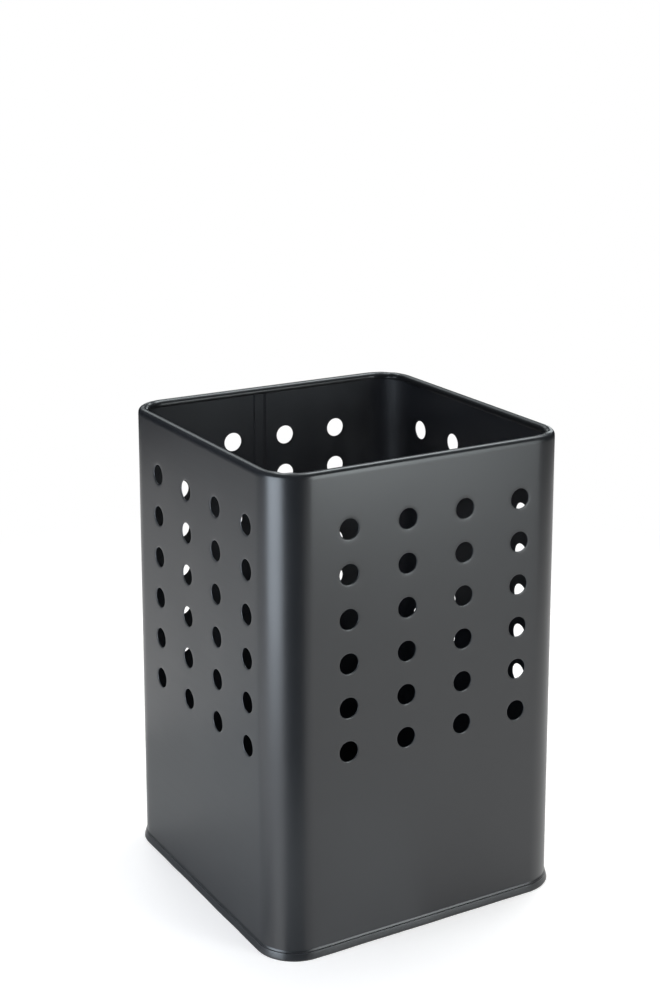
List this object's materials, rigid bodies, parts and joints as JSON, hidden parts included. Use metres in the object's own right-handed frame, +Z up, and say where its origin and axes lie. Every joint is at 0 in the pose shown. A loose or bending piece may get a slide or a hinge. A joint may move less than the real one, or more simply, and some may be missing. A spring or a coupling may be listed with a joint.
{
  "type": "utensil holder",
  "caption": "Square round-cornered holder of thin black-lacquered sheet metal with punched walls, a rolled rim and a seamed base; stands on a counter and holds cooking tools upright.",
  "frame": {"origin": "middle of the face that the holder stands on", "axes": "+Z is up, -Y is the front wall, and the lock seam is inside the +Y wall"},
  "size_m": [0.12, 0.12, 0.172],
  "materials": {
    "black_lacquer": "satin black lacquer on tinplate"
  },
  "bodies": {
    "root": {"body_shell": "black_lacquer", "base_pan": "black_lacquer"}
  },
  "joints": []
}
